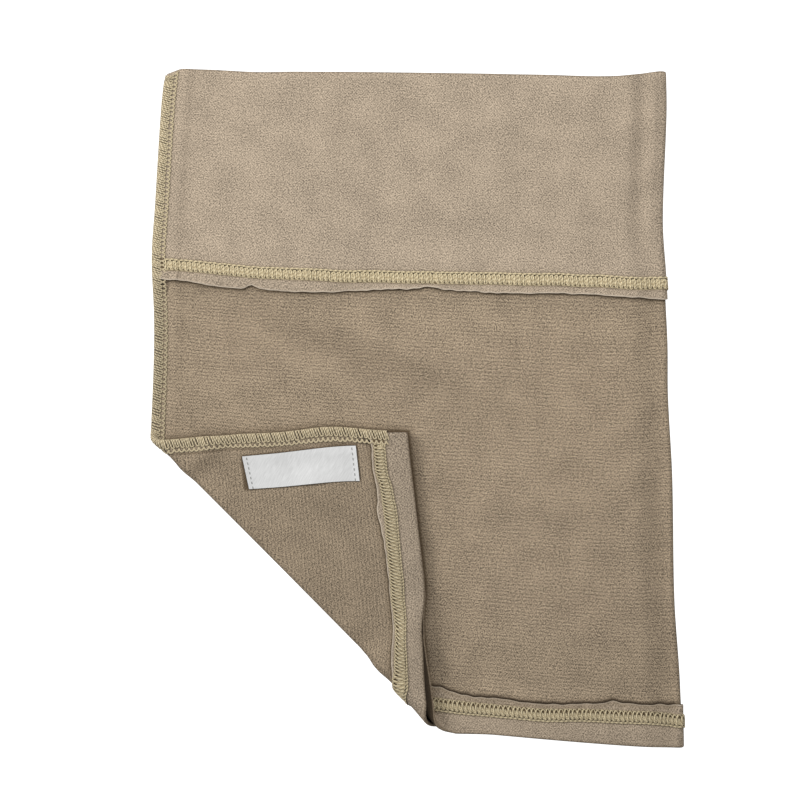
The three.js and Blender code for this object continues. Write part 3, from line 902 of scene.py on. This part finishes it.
def coverstitch_rings(wide, pitches, spread, second_reach, second_shift, second_width):
    """The looper thread swings across the band, out high and bowed and back low, with wide arches at
    the raw edge's side. A second pass of it, half hidden, fills the middle. The needle threads show
    as small beads along both sides."""
    first = overlock_width + clearance
    v_line = wide_stitch_line if wide else narrow_stitch_line
    half = float(fold_centre(v_line) - seam_side(v_line))
    last = 2 * half + np.pi * side_radius - first
    stitches, place = places_at_pitch(first, last, pitches, tube_width)
    turns = np.linspace(0, stitches, stitches * steps_a_stitch + 1)
    level = 0 * turns
    uneven = 0.1 * soft_waves(turns, 41 + wide, 2.6)
    on_flap = smooth(place(turns), *spread_start) * (1 - smooth(place(turns), *spread_end)) * (not wide)
    reach = looper_reach * (1 + spread + flap_spread * on_flap)
    across = swing(turns, 1.7) * (reach + 0.22 * soft_waves(turns, 43 + wide, 3.1))
    middle = np.maximum(1 - (across / reach) ** 2, 0)
    going_out = np.sin(2 * np.pi * turns)
    along = place(np.clip(turns - 0.12 * going_out + uneven, 0, stitches))
    lean = (0.25 + on_flap) * across / reach - 0.5 * middle * going_out
    along = along + lean * (-1 if wide else 1)
    looper = [along, across + 0.25 * (across < 0), 0.42 + 0.08 * middle + 0.12 * going_out]
    second_across = second_reach * reach * swing(turns + 0.3, 1.2) + second_shift
    second = [place(np.clip(turns + 0.2, 0, stitches)), second_across, level + 0.22]
    bead = 0.5 - 0.5 * np.cos(2 * np.pi * turns)
    wobble = 0.1 * soft_waves(turns, 45 + wide, 2.2)
    raw_side = [place(turns), reach + 0.1 + wobble, 0.15 + 0.2 * bead]
    hem_side = [place(turns), -reach - 0.15 + wobble, 0.4 + 0.3 * bead]
    paths = np.moveaxis(np.array([looper, second, raw_side, hem_side]), 1, -1)
    looper_width = (0.28 + 0.16 * middle) * (1 + 0.2 * going_out)
    widths = np.stack([looper_width, level + second_width, 0.12 + 0.15 * bead, 0.26 + 0.3 * bead])
    heights = np.stack([level + looper_half_height, level + 0.2, 0.1 + 0.1 * bead, 0.12 + 0.2 * bead])
    u, across, rise = np.moveaxis(thread_tube(paths, widths, heights), -1, 0)
    v = stitch_line(u, wide) - across * (1 if wide else -1)
    x, turn = round_to_column(u, v)
    return place_on_tube(x, turn, v, layer_pitch + jersey_thickness + rise - 0.1)


def thread_finish(name, colour, dark):
    """Soft textured polyester sewing thread, pale and matt: a fine twist with painted shade in its
    hollows.
    """
    material, tree = new_material(name, {
        "Roughness": 0.75, "Specular IOR Level": 0.35, "Sheen Weight": 0.15})
    place = read_axes(tree, "thread")
    # Painted shade in the hollows between the twisted plies
    twist = calculate(tree, "MULTIPLY_ADD", place["Y"], 0.35, place["X"])
    wave = calculate(tree, "SINE", calculate(tree, "MULTIPLY", twist, 4 * np.pi))
    colours = two_tones(tree, between(tree, wave, -1.2, 1.2), linear(dark), linear(colour))
    feed_colour(tree, mix_colours(tree, 1.0, colours, place["Z"], "MULTIPLY"))
    return material


hem_thread = thread_finish("textured_polyester_hem_thread", "#dacca9", "#9a8866")
creases(hem_thread, reach=1.2, depth=0.75)
for node_name, tone, sewing in (
        ("wide_hem_coverstitch", 1.24, {
            "wide": True, "pitches": (2.4, 2.4), "spread": 0,
            "second_reach": 0.66, "second_shift": 0.2, "second_width": 0.95}),
        ("narrow_hem_coverstitch", 0.97, {
            "wide": False, "pitches": (2.3, 1.6), "spread": 0.08,
            "second_reach": 0.5, "second_shift": -0.8, "second_width": 0.7})):
    band = thread_piece(node_name + "_threads", coverstitch_rings(**sewing), tone)
    band.data.materials.append(hem_thread)
    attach(band, "root")
    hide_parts(node_name)


# The side seam's overlock threads
# Two looper threads wrap the two raw edges that are sewn together, one over the front and one
# under the back, and meet along the edge. A needle thread runs up the seam as a row of beads.
overlock_pitch = (2.55, 2.2)
overlock_turn = 0.95
overlock_slant = 1.6
overlock_start = 10.5
overlock_change_at = 210
overlock_steps = 22
strand_gap = 0.46
needle_middle = 0.5
# Along the seam, where its thread turns duller and then lighter
dull_from = (125, 155)
light_from = (195, 235)


def seam_place(across, v, out):
    """The place of a point on the wrap: across from the needle line over the front, round the edge
    and back under the back wall, at v, and out from the cloth."""
    edge = seam_side(v)
    cloth = jersey_thickness + layer_pitch * hem_cover(v)
    top = front_inner(edge, v) + cloth
    low = back_inner(edge, v) - cloth
    half = (top - low) / 2
    turn = np.clip((across - overlock_width) / overlock_turn, 0, np.pi)
    back = np.maximum(across - overlock_width - np.pi * overlock_turn, 0)
    x = edge + np.maximum(overlock_width - across, 0) + back - (0.35 + out) * np.sin(turn)
    spring, drawn = seam_spring(x, v)
    return fold_corner_up(x - spring, line_y(x, v) - drawn, low + half + (half + out) * np.cos(turn))


def overlock_rings():
    """Each looper thread goes out to the edge and comes back beside itself, as slanted strands, and
    steps on to the next stitch at its inner end. The needle thread zigzags beyond the strands."""
    stitches, place = places_at_pitch(overlock_start, tube_length - 1, overlock_pitch, overlock_change_at)
    turns = np.linspace(0, stitches, stitches * overlock_steps + 1)
    level = 0 * turns
    count = np.floor(turns)
    share = turns - count
    stepped = count + strand_gap * smooth(share, 0.35, 0.65) + (1 - strand_gap) * smooth(share, 0.86, 1)
    uneven = 0.08 * soft_waves(turns, 51, 2.4)
    edge = overlock_width + np.pi * overlock_turn / 2
    swung = 0.5 + 0.5 * swing(turns, 1.6)
    across = mix(1.8 + 0.25 * soft_waves(turns, 52, 2.7), edge + 0.2, swung)
    along = place(np.clip(stepped + uneven, 0, stitches)) + overlock_slant * (swung - 0.5)
    rise = 0.3 + 0.15 * np.sin(np.pi * swung)
    swaying, rising = np.cos(2 * np.pi * turns), np.sin(2 * np.pi * turns)
    zigzag = needle_middle - 0.8 * swaying + 0.12 * soft_waves(turns, 53, 2.1)
    needle_along = place(np.clip(turns + 0.16 * rising, 0, stitches))
    needle_rise = 0.22 + 0.1 * swaying
    paths = np.moveaxis(np.array([
        [across, along, rise], [2 * edge - across, along + 0.6, rise],
        [zigzag, needle_along, needle_rise], [2 * edge - zigzag, needle_along, needle_rise]]), 1, -1)
    width = np.stack([0.46 + 0.16 * swung] * 2 + [0.5 - 0.12 * swaying] * 2)
    height = np.stack([level + 0.27] * 2 + [level + 0.22] * 2)
    across, along, out = np.moveaxis(thread_tube(paths, width, height), -1, 0)
    lighter = smooth(place(turns), *light_from)
    tone = 1 - 0.1 * smooth(place(turns), *dull_from) * (1 - lighter) + 0.12 * lighter
    return seam_place(across, np.clip(along, 0.2, tube_length - 0.2), out), tone[:, None]


seam_thread = thread_finish("textured_polyester_seam_thread", "#ddceac", "#8d7c5d")
creases(seam_thread, reach=1.2, depth=0.85)
overlock = thread_piece("side_seam_threads", *overlock_rings())
overlock.data.materials.append(seam_thread)
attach(overlock, "root")
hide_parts("side_seam_overlock")


# The label
# A bare tape of white polyester satin, cut hot at both ends and sewn down by a short row of small
# stitches beside each cut, on the wrong side of the cloth near the side seam.
label_thickness = 0.35
label_flare = 1.2
label_cut_skew = 2
label_stitch_inset = 2.2
label_stitch_pitch = 2.4


def label_grids():
    """The tape lies on the back wall, pressed down at its sewn ends and a little high between."""
    along, across = np.meshgrid(np.linspace(0, 1, 60), np.linspace(0, 1, 20), indexing="ij")
    v = label_from_hem + label_length * along - label_cut_skew * along * (1 - across)
    width = label_width + label_flare * (1 - along)
    x = seam_side(v) + label_from_seam + label_slant * along + width * (1 - across)
    ends = np.minimum(along, 1 - along) * label_length
    loose = smooth(ends, 2.5, 9) * (0.35 + 0.25 * soft_waves(along * 58, 61, 20, across * 17))
    out = jersey_thickness + 0.2 + loose + bells(ends, (0.5, 0, 2))
    turn = np.full_like(x, np.pi)
    grids = [place_on_tube(x, turn, v, out + lift) for lift in (label_thickness, 0)]
    tape = np.stack([along * label_length, across * label_width, 0 * along], -1)
    return grids[0], grids[1], {"tape": tape}


label, _ = closed_solid("satin_label", *label_grids())
label.data.set_sharp_from_angle(angle=sharp_angle)

# Satin: fine slanted floats with a painted sheen, lighter and darker where they catch the light
# unevenly, and the grey needle holes of its stitches
satin, tree = new_material("white_polyester_satin_tape", {
    "Roughness": 0.45, "Specular IOR Level": 0.3})
tape = add_node(tree, "ShaderNodeAttribute", attribute_name="tape").outputs["Vector"]
floats = add_node(tree, "ShaderNodeMapping", {
    "Vector": tape, "Rotation": (0, 0, np.radians(40)), "Scale": (0.5, 5, 1)}, vector_type="TEXTURE")
twill_sheen = between(tree, noise(tree, floats.outputs[0], 1.0, 2.0), 0.25, 0.75)
satin_colours = two_tones(tree, twill_sheen, linear("#cbcbca"), linear("#e0e0df"))
on_tape = read_axes(tree, "tape")
from_middle = calculate(tree, "SUBTRACT", on_tape["X"], label_length / 2)
from_middle = calculate(tree, "ABSOLUTE", from_middle)
on_row = calculate(tree, "COMPARE", from_middle, label_length / 2 - label_stitch_inset, 0.3)
stitch_turn = calculate(tree, "MULTIPLY", on_tape["Y"], 2 * np.pi / label_stitch_pitch)
stitched = calculate(tree, "GREATER_THAN", calculate(tree, "SINE", stitch_turn), 0.0)
holes = calculate(tree, "MULTIPLY", on_row, stitched)
feed_colour(tree, mix_colours(tree, holes, satin_colours, linear("#8d8d8b")))
label.data.materials.append(satin)
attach(label, "root")
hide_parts("woven_label")
